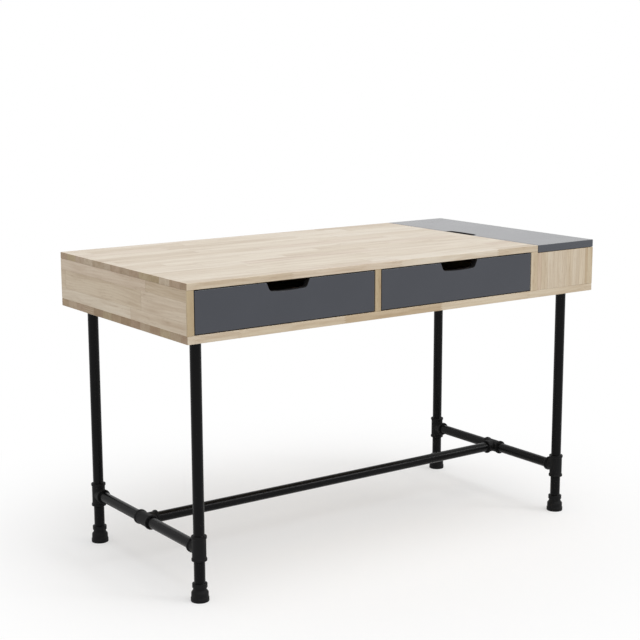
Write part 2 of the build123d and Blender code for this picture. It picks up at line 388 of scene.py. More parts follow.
@dataclass(frozen=True)
class StaveFigure:
    """The figure of rubberwood, which starts anew in each stave.

    Attributes:
        streaks: soft long streaks.
        bands: cloudy bands.
        dashes, gathering: short dashes, and where they gather.
        vessels: fine vessel lines.
        wander: how the growth rings bend.
        drift: how far luck may move the figure of a stave.
        ring_spacing: from one growth ring to the next.
        ring_bend: how far wander bends the rings, in radians of a ring.
        pith_spread, pith_sway: how far the pith lies beside the stave, and how far it wanders.
        pith_depth, pith_depth_spread: its least depth below the stave, and how much deeper it may lie.
        pith_slope: how steeply it may rise along the stave.
    """

    streaks: Fibres = Fibres(2.2, 42.0, (1.0, 9.0, 0.0), detail=3.0, roughness=0.55, start=0.4, full=0.68)
    bands: Fibres = Fibres(7.0, 70.0, (3.0, 1.0, 0.0), detail=2.0, roughness=0.6, start=0.45, full=0.68)
    dashes: Fibres = Fibres(34.0, 330.0, (1.0, 0.0, 5.0), detail=2.0, start=0.55, full=0.72)
    gathering: Fibres = Fibres(6.0, 22.0, (0.0, 1.0, 0.0), start=0.4, full=0.62)
    vessels: Fibres = Fibres(110.0, 1500.0, (1.0, 0.0, 9.0), roughness=0.4, start=0.64, full=0.74)
    wander: Fibres = Fibres(5.0, 8.0)
    drift: float = 3.0
    ring_spacing: float = 6.5 * MM
    ring_bend: float = 5.0
    pith_spread: float = 0.12
    pith_sway: float = 0.03
    pith_depth: float = 0.015
    pith_depth_spread: float = 0.04
    pith_slope: float = 0.2

    def build(self, graph: Graph, place: Triple, luck: Triple) -> dict[str, Value]:
        """Draw the figure.

        Args:
            graph: the wood's node tree.
            place: the shaded point along, across and through the stave.
            luck: the stave's three random numbers.

        Returns:
            streak, band, dash, vessel and ring, each from 0 to 1.
        """
        drift = luck[0] * self.drift
        dash = self.dashes.figure(graph, place, drift) * self.gathering.figure(graph, place, drift)
        return {
            "streak": self.streaks.noise(graph, place, drift),
            "band": self.bands.figure(graph, place, drift),
            "dash": dash,
            "vessel": self.vessels.figure(graph, place, drift),
            "ring": self._rings(graph, place, luck, self.wander.noise(graph, place, drift)),
        }

    def _rings(self, graph: Graph, place: Triple, luck: Triple, wander: Value) -> Value:
        """Draw growth rings round a pith that lies outside the stave.

        Args:
            graph: the wood's node tree.
            place: the shaded point along, across and through the stave.
            luck: the stave's three random numbers.
            wander: how the rings bend here.

        Returns:
            0 between the rings and 1 on them.
        """
        along, across, through = place
        aside = across + (luck[1] - 0.5) * self.pith_spread + wander * self.pith_sway
        slope = along * (luck[1] - 0.5) * self.pith_slope
        below = through + self.pith_depth + luck[2] * self.pith_depth_spread + slope
        radius = graph.length(graph.vector(aside, below, 0.0))
        waves = graph.math("SINE", radius * (2 * math.pi / self.ring_spacing) + wander * self.ring_bend)
        return waves * 0.5 + 0.5

    def lay(self, graph: Graph, colour: Value, figure: dict[str, Value]) -> Value:
        """Lay the figure over a stave's plain tone.

        Args:
            graph: the wood's node tree.
            colour: the plain tone.
            figure: what build handed back.

        Returns:
            The figured colour.
        """
        streak = figure["streak"].step(self.streaks.start, self.streaks.full)
        layers = [  # mask, strength and shade
            (streak, 0.8, tone(236, 230, 222)),
            (figure["band"], 0.5, tone(230, 220, 208)),
            (figure["ring"], 0.3, tone(236, 226, 214)),
            (figure["dash"], 0.55, tone(214, 200, 184)),
            (figure["vessel"], 0.4, tone(206, 188, 166)),
        ]
        for mask, strength, shade in layers:
            colour = graph.stain(colour, shade, mask * strength)
        return colour


@dataclass(frozen=True)
class WashedRubberwood:
    """Pale washed rubberwood glued up from finger-jointed staves.

    Attributes:
        name: name of the material.
        grain: axis that the staves run along.
        across: axis that the staves lie side by side along.
        corner: a corner of the board, near which the first stave starts.
        stave_width, stave_length: size of one stave.
        length_from, length_spread: shortest stave as a share of that length, and how far the others vary.
        first_stave: share of the first stave that lies on the board.
        first_number: number of the stave at the corner, high enough that none is below 0.
        row_shift: how far luck may shift a row of staves.
        row_salt, stave_salt: factor and term that tell apart the lucks of boards, rows and staves.
        finger_pitch, finger_depth: the finger joints at the ends of the staves.
        seam, tip: distances from a glue line at which it starts to show and shows fully, between staves
            and at the fingers.
        seam_strength, tip_strength: how much each of them shows, from 0 to 1.
        variety: how much the staves differ in tone, from 0 to 1.
        seed: which run of luck the staves have.
        depth: how much darker the whole board is drawn than usual, from 0 to 1: partly its own tone and
            partly painted shade.
        wash_and_sheen: how thickly a whitish layer lies on it, from 0 to 1: partly a white wash and partly
            painted sheen.
        figure: the figure of its staves.
        lipping: Y below which a lipping of upright grain covers the board's front edge.
        lipping_blur: width over which the lipping ends.
        lipping_squeeze: how much wider than on the staves the lipping's figure is.
        lipping_tan: how much yellower and darker the lipping is, from 0 to 1.
    """

    name: str
    grain: Axis
    across: Axis
    corner: Vector
    stave_width: float = 47 * MM
    stave_length: float = 340 * MM
    length_from: float = 0.65
    length_spread: float = 0.7
    first_stave: float = 0.6
    first_number: float = 20.0
    row_shift: float = 3.0
    row_salt: tuple[float, float] = (7.0, 3.0)
    stave_salt: tuple[float, float] = (5.0, 1.0)
    finger_pitch: float = 5.5 * MM
    finger_depth: float = 9 * MM
    seam: tuple[float, float] = (0.44 * MM, 0.11 * MM)
    tip: tuple[float, float] = (1.2 * MM, 0.2 * MM)
    seam_strength: float = 0.5
    tip_strength: float = 0.45
    variety: float = 0.7
    seed: float = 1.0
    depth: float = 0.0
    wash_and_sheen: float = 0.0
    figure: StaveFigure = StaveFigure()
    lipping: float | None = None
    lipping_blur: float = 0.1 * MM
    lipping_squeeze: float = 0.4
    lipping_tan: float = 1.0

    def build(self) -> bpy.types.Material:
        """Make the wood.

        Returns:
            The wood as a material.
        """
        graph = Graph(bpy.data.materials.new(self.name))
        along, across, through, end = self._grain_frame(graph)
        stave = across / self.stave_width + (1.0 - self.first_stave)
        row = stave.floor()
        shift, stretch, _ = graph.chance(graph.vector(row, self.seed * self.row_salt[0], self.row_salt[1]))
        finger = through.zigzag(self.finger_pitch / 2) * (2 * self.finger_depth / self.finger_pitch)
        length = self.stave_length * (self.length_from + self.length_spread * stretch)
        run = (along + shift * self.row_shift + finger) / length + self.first_number
        cell = graph.vector(row, run.floor(), self.seed * self.stave_salt[0] + self.stave_salt[1])
        luck = graph.chance(cell)
        joint = self._joint(stave, run, length)
        figure = self.figure.build(graph, (along, across, through), luck)
        colour = self.figure.lay(graph, self._stave_colour(graph, luck), figure)
        colour = self._end_grain(graph, colour, end, luck)
        colour = graph.stain(colour, tone(186, 164, 138), joint)
        if self.lipping is not None:
            tan = self._on_lipping(graph) * self.lipping_tan
            colour = graph.stain(colour, tone(228, 222, 202), tan)
        plain, on_streak, at_end = 0.3, 0.08, 0.2
        roughness = plain + on_streak * figure["streak"] + at_end * end
        on_streak, beside_vessel, on_ring, in_joint = 0.5, 0.3, 0.2, 0.6
        height = on_streak * figure["streak"] + beside_vessel * (1 - figure["vessel"])
        height = height + on_ring * figure["ring"] - in_joint * joint
        normal = graph.relief(height, depth=0.05 * MM, strength=0.5)
        return graph.surface({"Specular IOR Level": 0.65}, base=colour, roughness=roughness, normal=normal)

    def _grain_frame(self, graph: Graph) -> tuple[Value, Value, Value, Value]:
        """Turn the place on the board into a place in its wood.

        Args:
            graph: the wood's node tree.

        Returns:
            Metres along, across and through the staves from the corner, and 1 where end grain shows.
        """
        place = [value - start for value, start in zip(graph.place(), self.corner)]
        facing = graph.facing()
        through = next(axis for axis in Axis if axis not in (self.grain, self.across))
        frame = [place[axis.value] for axis in (self.grain, self.across, through)]
        end = facing[self.grain.value].size()
        if self.lipping is not None:
            strip = self._on_lipping(graph)
            x, y, z = place
            upright = [z, x * self.lipping_squeeze, y]
            frame = [own + strip * (other - own) for own, other in zip(frame, upright)]
            end = end + strip * (facing[Axis.Z.value].size() - end)
        return frame[0], frame[1], frame[2], end.step(low=0.6, high=0.8)

    def _on_lipping(self, graph: Graph) -> Value:
        """1 on the lipping and 0 behind it."""
        return graph.place()[Axis.Y.value].step(self.lipping + self.lipping_blur, self.lipping)

    def _joint(self, stave: Value, run: Value, length: Value) -> Value:
        """Draw thin glue lines between the staves, and fainter ones at the fingers.

        Args:
            stave: place across the board, in staves.
            run: place along the row, in staves.
            length: length of this row's staves.

        Returns:
            How much a glue line shows, from 0 to 1.
        """
        seam = (stave.to_whole() * self.stave_width).step(*self.seam)
        tip = (run.to_whole() * length).step(*self.tip)
        return seam.graph.math("MAXIMUM", seam * self.seam_strength, tip * self.tip_strength)

    def _stave_colour(self, graph: Graph, luck: Triple) -> Value:
        """Pick the plain tone of one stave: mostly alike, now and then yellower, rosier or browner.

        Args:
            graph: the wood's node tree.
            luck: the stave's three random numbers.

        Returns:
            The tone.
        """
        usual, painted_shade_black, wash_and_sheen_white = tone(220, 205, 182), tone(0, 0, 0), tone(228, 226, 218)
        stops = [
            (0.0, tone(184, 158, 118)),
            (0.1, tone(200, 178, 144)),
            (0.3, tone(215, 198, 170)),
            (0.55, tone(223, 210, 190)),
            (0.8, tone(221, 206, 180)),
            (1.0, tone(206, 182, 156)),
        ]
        colour = graph.node("ShaderNodeValToRGB", {"stops": stops}, {"Fac": luck[2]})
        colour = graph.mix(self.variety, usual, colour)
        # partly painted shade: the whole board drawn darker by its depth
        colour = graph.mix(self.depth, colour, painted_shade_black)
        # partly painted sheen: a whitish layer that pales the board like the shine of bright surroundings
        return graph.mix(self.wash_and_sheen, colour, wash_and_sheen_white)

    @staticmethod
    def _end_grain(graph: Graph, colour: Value, end: Value, luck: Triple) -> Value:
        """Darken the end grain, each stave by its own share and a few of them to olive or russet.

        Args:
            graph: the wood's node tree.
            colour: the figured colour.
            end: 1 where end grain shows.
            luck: the stave's three random numbers.

        Returns:
            The colour with its end grain.
        """
        olive, russet, strength = tone(202, 192, 160), tone(196, 176, 158), 0.7
        shade = graph.mix(luck[1], tone(226, 220, 213), tone(200, 188, 174))
        shade = graph.tint(shade, olive, luck[0].step(low=0.78, high=0.8), strength)
        shade = graph.tint(shade, russet, luck[0].step(low=0.24, high=0.22), strength)
        return graph.stain(colour, shade, end)


@dataclass(frozen=True)
class DrawerWood:
    """Plain pale wood of the drawer boxes, and the face veneer of their plywood bottoms.

    Attributes:
        name: name of the material.
        grain: axis that the grain runs along.
        pale, dark: colours between and on the grain lines.
    """

    name: str
    grain: Axis
    pale: Colour = tone(222, 203, 170)
    dark: Colour = tone(198, 170, 130)

    def build(self) -> bpy.types.Material:
        """Make the drawer wood.

        Returns:
            The wood as a material.
        """
        graph = Graph(bpy.data.materials.new(self.name))
        fibres = graph.drawn_out(self.grain, along=3.0, across=70.0)
        band = graph.noise(fibres, detail=5.0, roughness=0.65)
        fine = graph.noise(fibres, scale=9.0)
        colour = graph.mix(band.step(low=0.4, high=0.68), self.pale, self.dark)
        colour = graph.tint(colour, self.dark, fine.step(low=0.6, high=0.75), strength=0.35)
        plain, on_grain = 0.55, 0.12
        roughness = plain + on_grain * fine
        normal = graph.relief(fine * 0.5 + band * 0.5, depth=0.06 * MM, strength=0.5)
        return graph.surface({"Specular IOR Level": 0.3}, base=colour, roughness=roughness, normal=normal)


@dataclass(frozen=True)
class FingerNotch:
    """Where a board's finger notch lies, with a margin round it, so that painted shade can be drawn on its
    walls.

    Attributes:
        mouth: middle of its mouth.
        across: axis along the mouth.
        inward: axis from the mouth into the board.
        sense: 1 if the notch runs along that axis, and -1 if it runs against it.
        through: axis through the board's thickness.
        half, depth: reach to both sides and inwards.
        edge: width over which the margin ends.
    """

    mouth: Vector
    across: Axis
    inward: Axis
    sense: float
    through: Axis
    half: float = 64 * MM
    depth: float = 25 * MM
    edge: float = 1 * MM

    def painted_shade_walls(self, graph: Graph) -> Value:
        """Tell the walls of the notch, which get painted shade, from the board's faces.

        Args:
            graph: the node tree of the board's finish.

        Returns:
            1 on the walls and 0 elsewhere.
        """
        offset = [value - start for value, start in zip(graph.place(), self.mouth)]
        beside = offset[self.across.value].size().step(self.half, self.half - self.edge)
        within = (offset[self.inward.value] * self.sense).step(self.depth, self.depth - self.edge)
        sideways = graph.facing()[self.through.value].size().step(low=0.8, high=0.5)
        return beside * within * sideways


@dataclass(frozen=True)
class SlateLacquer:
    """Satin slate-grey lacquer, sprayed on, with painted shade: the walls of the board's finger notch are
    drawn near black.

    Attributes:
        name: name of the material.
        notch: the board's finger notch.
        dark, pale: colours that the lacquer varies between.
        dust, painted_shade_black: colours of its specks, and of the painted shade drawn on the notch's walls.
    """

    name: str
    notch: FingerNotch
    dark: Colour = tone(56, 59, 67)
    pale: Colour = tone(62, 65, 73)
    dust: Colour = tone(84, 87, 95)
    # painted shade: the near-black that the notch's walls are drawn in
    painted_shade_black: Colour = tone(8, 8, 9)

    def build(self) -> bpy.types.Material:
        """Make the lacquer.

        Returns:
            The lacquer as a material.
        """
        graph = Graph(bpy.data.materials.new(self.name))
        spot = graph.spot()
        cloud = graph.noise(spot, scale=9.0, detail=3.0)
        peel = graph.noise(spot, scale=900.0, detail=1.0)
        speck = graph.noise(spot, scale=2600.0, detail=1.0).step(low=0.68, high=0.78)
        # mask of the notch's walls, which get painted shade
        wall = self.notch.painted_shade_walls(graph)
        colour = graph.mix(cloud, self.dark, self.pale)
        colour = graph.tint(colour, self.dust, speck, strength=0.25)
        # painted shade: the notch's walls drawn near black, as if in shadow
        colour = graph.mix(wall, colour, self.painted_shade_black)
        plain, in_cloud, on_peel, on_wall = 0.17, 0.05, 0.03, 0.5
        roughness = plain + in_cloud * cloud + on_peel * peel + on_wall * wall
        normal = graph.relief(peel, depth=0.02 * MM, strength=0.35)
        return graph.surface({"Specular IOR Level": 0.5}, base=colour, roughness=roughness, normal=normal)


@dataclass(frozen=True)
class BlackPipe:
    """Black iron pipe: dark mill finish with faint drawing lines along it.

    Attributes:
        name: name of the material.
        run: axis that the pipe runs along.
        dark, pale, worn: colours of the mill scale, and of the drawing lines.
    """

    name: str
    run: Axis
    dark: Colour = tone(6, 6, 7)
    pale: Colour = tone(13, 13, 14)
    worn: Colour = tone(26, 26, 27)

    def build(self) -> bpy.types.Material:
        """Make the pipe's skin.

        Returns:
            The skin as a material.
        """
        graph = Graph(bpy.data.materials.new(self.name))
        spot = graph.spot()
        line = graph.noise(graph.drawn_out(self.run, along=6.0, across=420.0), detail=3.0, roughness=0.6)
        mill_scale = graph.noise(spot, scale=60.0, detail=4.0, roughness=0.6)
        grit = graph.noise(spot, scale=1800.0, detail=1.0)
        colour = graph.mix(mill_scale, self.dark, self.pale)
        colour = graph.tint(colour, self.worn, line.step(low=0.6, high=0.75), strength=0.3)
        plain, on_scale, on_line = 0.18, 0.1, 0.05
        roughness = plain + on_scale * mill_scale + on_line * line
        normal = graph.relief(0.5 * line + 0.5 * grit, depth=0.04 * MM, strength=0.4)
        return graph.surface({"Specular IOR Level": 0.11}, base=colour, roughness=roughness, normal=normal)


@dataclass(frozen=True)
class BlackCasting:
    """Black malleable iron, grainy from the sand mould, some of its grains rubbed lighter.

    Attributes:
        name: name of the material.
        dark, pale, rubbed: colours of its patches, and of the grains that are rubbed.
    """

    name: str = "black_casting"
    dark: Colour = tone(13, 13, 14)
    pale: Colour = tone(22, 22, 23)
    rubbed: Colour = tone(36, 36, 37)

    def build(self) -> bpy.types.Material:
        """Make the casting's skin.

        Returns:
            The skin as a material.
        """
        graph = Graph(bpy.data.materials.new(self.name))
        spot = graph.spot()
        sand = graph.noise(spot, scale=1100.0, roughness=0.6)
        patch = graph.noise(spot, scale=90.0, detail=3.0, roughness=0.6)
        colour = graph.mix(patch, self.dark, self.pale)
        colour = graph.tint(colour, self.rubbed, sand.step(low=0.62, high=0.75), strength=0.3)
        plain, on_patch = 0.5, 0.15
        roughness = plain + on_patch * patch
        normal = graph.relief(sand, depth=0.12 * MM, strength=0.6)
        return graph.surface({"Specular IOR Level": 0.14}, base=colour, roughness=roughness, normal=normal)


@dataclass(frozen=True)
class ZincSteel:
    """Zinc-plated rolled steel of the runners, with rolling lines along Y.

    Attributes:
        name: name of the material.
        dull, bright, rolled: colours of the plating, and of its rolling lines.
    """

    name: str = "zinc_steel"
    dull: Colour = tone(176, 180, 186)
    bright: Colour = tone(198, 201, 204)
    rolled: Colour = tone(160, 164, 170)

    def build(self) -> bpy.types.Material:
        """Make the plating.

        Returns:
            The plating as a material.
        """
        graph = Graph(bpy.data.materials.new(self.name))
        line = graph.noise(graph.drawn_out(Axis.Y, along=14.0, across=900.0))
        bloom = graph.noise(graph.spot(), scale=45.0, detail=3.0)
        colour = graph.mix(bloom, self.dull, self.bright)
        colour = graph.tint(colour, self.rolled, line.step(low=0.55, high=0.7), strength=0.3)
        plain, on_bloom, on_line = 0.26, 0.12, 0.06
        roughness = plain + on_bloom * bloom + on_line * line
        normal = graph.relief(line, depth=0.01 * MM, strength=0.3)
        return graph.surface({"Metallic": 1.0}, base=colour, roughness=roughness, normal=normal)


@dataclass(frozen=True)
class HingeSteel:
    """Black-plated hinge steel, worn brighter in specks.

    Attributes:
        name: name of the material.
        dark, pale, worn: colours of the plating, and of the specks.
    """

    name: str = "hinge_steel"
    dark: Colour = tone(38, 38, 40)
    pale: Colour = tone(52, 52, 54)
    worn: Colour = tone(110, 110, 112)

    def build(self) -> bpy.types.Material:
        """Make the hinge's plating.

        Returns:
            The plating as a material.
        """
        graph = Graph(bpy.data.materials.new(self.name))
        spot = graph.spot()
        patch = graph.noise(spot, scale=160.0, detail=3.0)
        speck = graph.noise(spot, scale=2200.0, detail=1.0).step(low=0.66, high=0.76)
        colour = graph.mix(patch, self.dark, self.pale)
        colour = graph.tint(colour, self.worn, speck, strength=0.4)
        plain, on_patch = 0.34, 0.14
        roughness = plain + on_patch * patch
        normal = graph.relief(patch, depth=0.02 * MM, strength=0.3)
        return graph.surface({"Metallic": 0.6}, base=colour, roughness=roughness, normal=normal)


@dataclass(frozen=True)
class ClearBumper:
    """Clear soft plastic of the lid's bumpers.

    Attributes:
        name: name of the material.
        clear, hazy: colours that it varies between.
    """

    name: str = "clear_bumper"
    clear: Colour = tone(232, 234, 235)
    hazy: Colour = tone(214, 217, 219)

    def build(self) -> bpy.types.Material:
        """Make the plastic.

        Returns:
            The plastic as a material.
        """
        graph = Graph(bpy.data.materials.new(self.name))
        haze = graph.noise(graph.spot(), scale=700.0)
        colour = graph.mix(haze, self.clear, self.hazy)
        plain, in_haze = 0.2, 0.15
        constants = {"Transmission Weight": 0.6, "IOR": 1.45}
        return graph.surface(constants, base=colour, roughness=plain + in_haze * haze)


@dataclass(frozen=True)
class StudioFloor:
    """The plain pale floor: it takes the desk's shadow, and fades to the white background far away.

    Attributes:
        name: name of the material.
        dim, pale: colours that it varies between.
        glow: how white it already looks beside the desk, from 0 to 1.
        fade_from, fade_to: distances from the desk between which it turns wholly white.
    """

    name: str = "studio_floor"
    dim: Colour = tone(249, 249, 249)
    pale: Colour = tone(251, 251, 251)
    glow: float = 0.43
    fade_from: float = 0.5
    fade_to: float = 1.25

    def build(self) -> bpy.types.Material:
        """Make the floor's finish.

        Returns:
            The floor as a material.
        """
        graph = Graph(bpy.data.materials.new(self.name))
        x, y, _ = graph.place()
        spot = graph.vector(x, y, 0.0)
        plain = graph.mix(graph.noise(spot, scale=0.7, detail=1.0), self.dim, self.pale)
        painted = graph.node("ShaderNodeBsdfDiffuse", None, {"Color": plain})
        lit = graph.node("ShaderNodeEmission", None, {"Color": tone(255, 255, 255), "Strength": 1.0})
        share = self.glow + (1.0 - self.glow) * graph.length(spot).step(self.fade_from, self.fade_to)
        shader = graph.node("ShaderNodeMixShader", None, {0: graph.seen() * share, 1: painted, 2: lit})
        return graph.close("ShaderNodeOutputMaterial", shader)


# ---------------------------------------------------------------- modelling by hand
def clear_selection() -> None:
    """Leave edit mode and deselect everything."""
    if bpy.context.object and bpy.context.object.mode != "OBJECT":
        bpy.ops.object.mode_set(mode="OBJECT")
    bpy.ops.object.select_all(action="DESELECT")


@contextmanager
def editing(select: str = "SELECT") -> Iterator[None]:
    """Work on the active piece in edit mode, and leave it afterwards.

    Args:
        select: what is done to the selection first.

    Yields:
        Nothing.
    """
    bpy.ops.object.mode_set(mode="EDIT")
    bpy.ops.mesh.select_all(action=select)
    yield
    bpy.ops.object.mode_set(mode="OBJECT")


def pick(piece: bpy.types.Object, kind: str, test: Callable[[Any], bool]) -> None:
    """Enter edit mode with only some corners or edges of the active piece selected.

    Args:
        piece: the active piece.
        kind: VERT for corners, or EDGE for edges.
        test: tells of each of them whether it is selected.
    """
    with editing("DESELECT"):
        bpy.ops.mesh.select_mode(type=kind)
    for element in piece.data.vertices if kind == "VERT" else piece.data.edges:
        element.select = test(element)
    bpy.ops.object.mode_set(mode="EDIT")


def choose(piece: bpy.types.Object) -> bpy.types.Object:
    """Select one object alone and make it the active one.

    Args:
        piece: the object.

    Returns:
        The same object.
    """
    clear_selection()
    piece.select_set(True)
    bpy.context.view_layer.objects.active = piece
    return piece


def newest(name: str) -> bpy.types.Object:
    """Fix the place of the object that an operator has just added in its mesh.

    Args:
        name: what the object is called from now on.

    Returns:
        The object.
    """
    piece = bpy.context.object
    piece.name = name
    piece.data.name = name
    bpy.ops.object.transform_apply(location=True, rotation=True, scale=True)
    return piece


def block(name: str, middle_at: Vector, size: Vector) -> bpy.types.Object:
    """Start a piece from a block.

    Args:
        name: name of the piece.
        middle_at: its middle.
        size: its size along X, Y and Z.

    Returns:
        The block.
    """
    clear_selection()
    bpy.ops.mesh.primitive_cube_add(size=1, location=middle_at, scale=size)
    return newest(name)


def apply_modifier(piece: bpy.types.Object, kind: str, **settings: Any) -> None:
    """Add a modifier and apply it.

    Args:
        piece: what it works on.
        kind: the modifier's type.
        settings: its settings.
    """
    choose(piece)
    modifier = piece.modifiers.new(kind.title(), kind)
    for name, value in settings.items():
        setattr(modifier, name, value)
    bpy.ops.object.modifier_apply(modifier=modifier.name)


def cut(piece: bpy.types.Object, tool: bpy.types.Object, operation: str = "DIFFERENCE") -> None:
    """Cut a tool out of a piece, or join it on, and remove the tool."""
    apply_modifier(piece, "BOOLEAN", object=tool, operation=operation, solver="EXACT")
    bpy.data.objects.remove(tool)


def soften(piece: bpy.types.Object, width: float, angle: float = 30.0, segments: int = 2) -> None:
    """Round edges.

    Args:
        piece: what is rounded.
        width: width of the rounding.
        angle: least turn of an edge that is rounded, in degrees.
        segments: faces across the rounding.
    """
    apply_modifier(
        piece,
        "BEVEL",
        width=width,
        segments=segments,
        limit_method="ANGLE",
        angle_limit=math.radians(angle),
        use_clamp_overlap=True,
    )


def shade(piece: bpy.types.Object, angle: float, flat_faces: bool = False) -> None:
    """Shade smooth, except across edges that turn by more than an angle in degrees.

    Args:
        piece: what is shaded.
        angle: the angle.
        flat_faces: let the big faces keep their own direction, so that only their roundings turn.
    """
    choose(piece)
    bpy.ops.object.shade_smooth_by_angle(angle=math.radians(angle))
    if flat_faces:
        apply_modifier(piece, "WEIGHTED_NORMAL", mode="FACE_AREA", weight=50, keep_sharp=True)


def place(piece: bpy.types.Object, matrix: Matrix) -> bpy.types.Object:
    """Move a piece and fix its new place in its mesh, so that its object stays at the origin.

    Args:
        piece: the piece.
        matrix: where it goes.

    Returns:
        The same piece.
    """
    choose(piece)
    piece.matrix_world = matrix
    bpy.ops.object.transform_apply(location=True, rotation=True, scale=True)
    return piece


def duplicate(piece: bpy.types.Object, name: str, matrix: Matrix) -> bpy.types.Object:
    """Copy a piece with a mesh of its own.

    Args:
        piece: the pattern.
        name: name of the copy.
        matrix: where the copy goes.

    Returns:
        The copy.
    """
    twin = piece.copy()
    twin.data = piece.data.copy()
    twin.name = twin.data.name = name
    bpy.context.scene.collection.objects.link(twin)
    return place(twin, matrix)


def join(pieces: Sequence[bpy.types.Object], name: str) -> bpy.types.Object:
    """Join pieces into the first of them.

    Args:
        pieces: the pieces.
        name: name of the result.

    Returns:
        The joined piece.
    """
    first = choose(pieces[0])
    for piece in pieces:
        piece.select_set(True)
    bpy.ops.object.join()
    first.name = first.data.name = name
    return first


def turn(name: str, outline: Outline, segments: int = 64, solid: bool = False) -> bpy.types.Object:
    """Turn a piece about Z: a ring is extruded and resized from corner to corner of its outline.

    Args:
        name: name of the piece.
        outline: radius and height of each corner, in metres. Without solid it closes on itself.
        segments: corners of the ring.
        solid: close both ends with a face instead.

    Returns:
        The turned piece.
    """
    clear_selection()
    radius, height = outline[0]
    fill = "NGON" if solid else "NOTHING"
    start = (0, 0, height)
    bpy.ops.mesh.primitive_circle_add(vertices=segments, radius=radius, fill_type=fill, location=start)
    piece = newest(name)
    corners = list(outline[1:]) + ([] if solid else [outline[0]])
    with editing():
        for next_radius, next_height in corners:
            rise = (0, 0, next_height - height)
            bpy.ops.mesh.extrude_region_move(TRANSFORM_OT_translate={"value": rise})
            if next_radius != radius:
                scale = next_radius / radius
                bpy.ops.transform.resize(value=(scale, scale, 1), center_override=(0, 0, next_height))
            radius, height = next_radius, next_height
        bpy.ops.mesh.select_all(action="SELECT")
        bpy.ops.mesh.remove_doubles(threshold=0.001 * MM)
        bpy.ops.mesh.normals_make_consistent(inside=False)
    return piece


def cad_copy(node: bpy.types.Object, name: str, bevel: float = 0.0) -> bpy.types.Object:
    """A copy of a CAD node as clean faces, with its edges rounded.

    Args:
        node: the CAD node.
        name: name of the copy.
        bevel: width of the rounding, or 0 for none.

    Returns:
        The copy.
    """
    piece = bpy.data.objects.new(name, node.data.copy())
    piece.data.name = name
    bpy.context.scene.collection.objects.link(piece)
    choose(piece)
    with editing():
        bpy.ops.mesh.remove_doubles(threshold=0.002 * MM)
        bpy.ops.mesh.dissolve_limited(angle_limit=math.radians(1.0))
    if bevel:
        soften(piece, bevel, angle=25.0)
    shade(piece, angle=50.0, flat_faces=True)
    return piece


def hand_over(
    piece: bpy.types.Object, body: str, material: bpy.types.Material, slot: Slot, *nodes: str
) -> None:
    """Dress a finished piece and put it on its body.

    Args:
        piece: the finished piece.
        body: the CAD body that carries it.
        material: its finish.
        slot: the record's slot for that finish; not used.
        nodes: the CAD nodes that it stands for.
    """
    piece.data.materials.clear()
    piece.data.materials.append(material)
    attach(piece, body)
    if nodes:
        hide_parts(*nodes)
    LOG.info("%s rides on %s with %d faces", piece.name, body, len(piece.data.polygons))


def middle(node: str) -> Vector:
    """The middle of a CAD node's box."""
    low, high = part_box(node)
    return (low + high) / 2


def turned_to(axis: Axis, backwards: bool = False) -> Matrix:
    """The rotation that takes +Z to an axis, or to its far side."""
    aim = -axis.vector if backwards else axis.vector
    return aim.to_track_quat("Z", "Y").to_matrix().to_4x4()


def turned_about(axis: Axis, angle: float) -> Matrix:
    """The rotation by an angle about an axis of the frame."""
    return Matrix.Rotation(angle, 4, axis.name)


def dress(node: bpy.types.Object, material: bpy.types.Material) -> None:
    """Give a CAD node its finish."""
    for slot in node.material_slots:
        slot.material = material


# ---------------------------------------------------------------- small parts
@dataclass(frozen=True)
class ScrewHead:
    """The flat head of a countersunk screw with a cross recess, facing +Z from the plane Z = 0.

    Attributes:
        radius: outer radius of the head.
        sink: how far it reaches below the plane.
        floor, seat_floor: radius of its floor and of its seat's floor, as shares of its own.
        play: how much wider than the head its seat is, and how far the recess is cut above the plane.
        segments: corners of the head.
        recess: length, width and depth of a slot of the recess, the first two as shares of the radius
            and the last of the sink.
        taper: length and width of a slot's floor, as shares of its mouth.
    """

    radius: float
    sink: float
    floor: float = 0.5
    seat_floor: float = 0.45
    play: float = 0.1 * MM
    segments: int = 24
    recess: tuple[float, float, float] = (1.15, 0.3, 0.7)
    taper: tuple[float, float] = (0.5, 0.6)

    def build(self, name: str) -> bpy.types.Object:
        """Make the head.

        Args:
            name: name of the piece.

        Returns:
            The head.
        """
        outline = [(self.radius * self.floor, -self.sink), (self.radius, 0.0)]
        head = turn(name, outline, self.segments, solid=True)
        for angle in (0.0, math.pi / 2):
            cut(head, self._slot(angle))
        shade(head, angle=35.0)
        return head

    def countersink(self, piece: bpy.types.Object, at: Matrix, depth: float) -> None:
        """Cut a seat for a head into a piece.

        Args:
            piece: what is countersunk.
            at: where the head goes.
            depth: how deep the seat is.
        """
        outline = [(self.radius * self.seat_floor, -depth), (self.radius + self.play, self.play / 2)]
        cut(piece, place(turn("countersink", outline, self.segments, solid=True), at))

    def _slot(self, angle: float) -> bpy.types.Object:
        """Make one tapered slot of the cross.

        Args:
            angle: how it is turned.

        Returns:
            The tool that cuts it.
        """
        length, width, depth = self.recess
        size = Vector((length * self.radius, width * self.radius, depth * self.sink))
        halfway = self.play - size.z / 2
        slot = block("recess", Vector((0, 0, halfway)), size)
        pick(slot, "VERT", lambda corner: corner.co.z < halfway)
        bpy.ops.transform.resize(value=(*self.taper, 1), center_override=(0, 0, self.play - size.z))
        bpy.ops.object.mode_set(mode="OBJECT")
        return place(slot, turned_about(Axis.Z, angle))


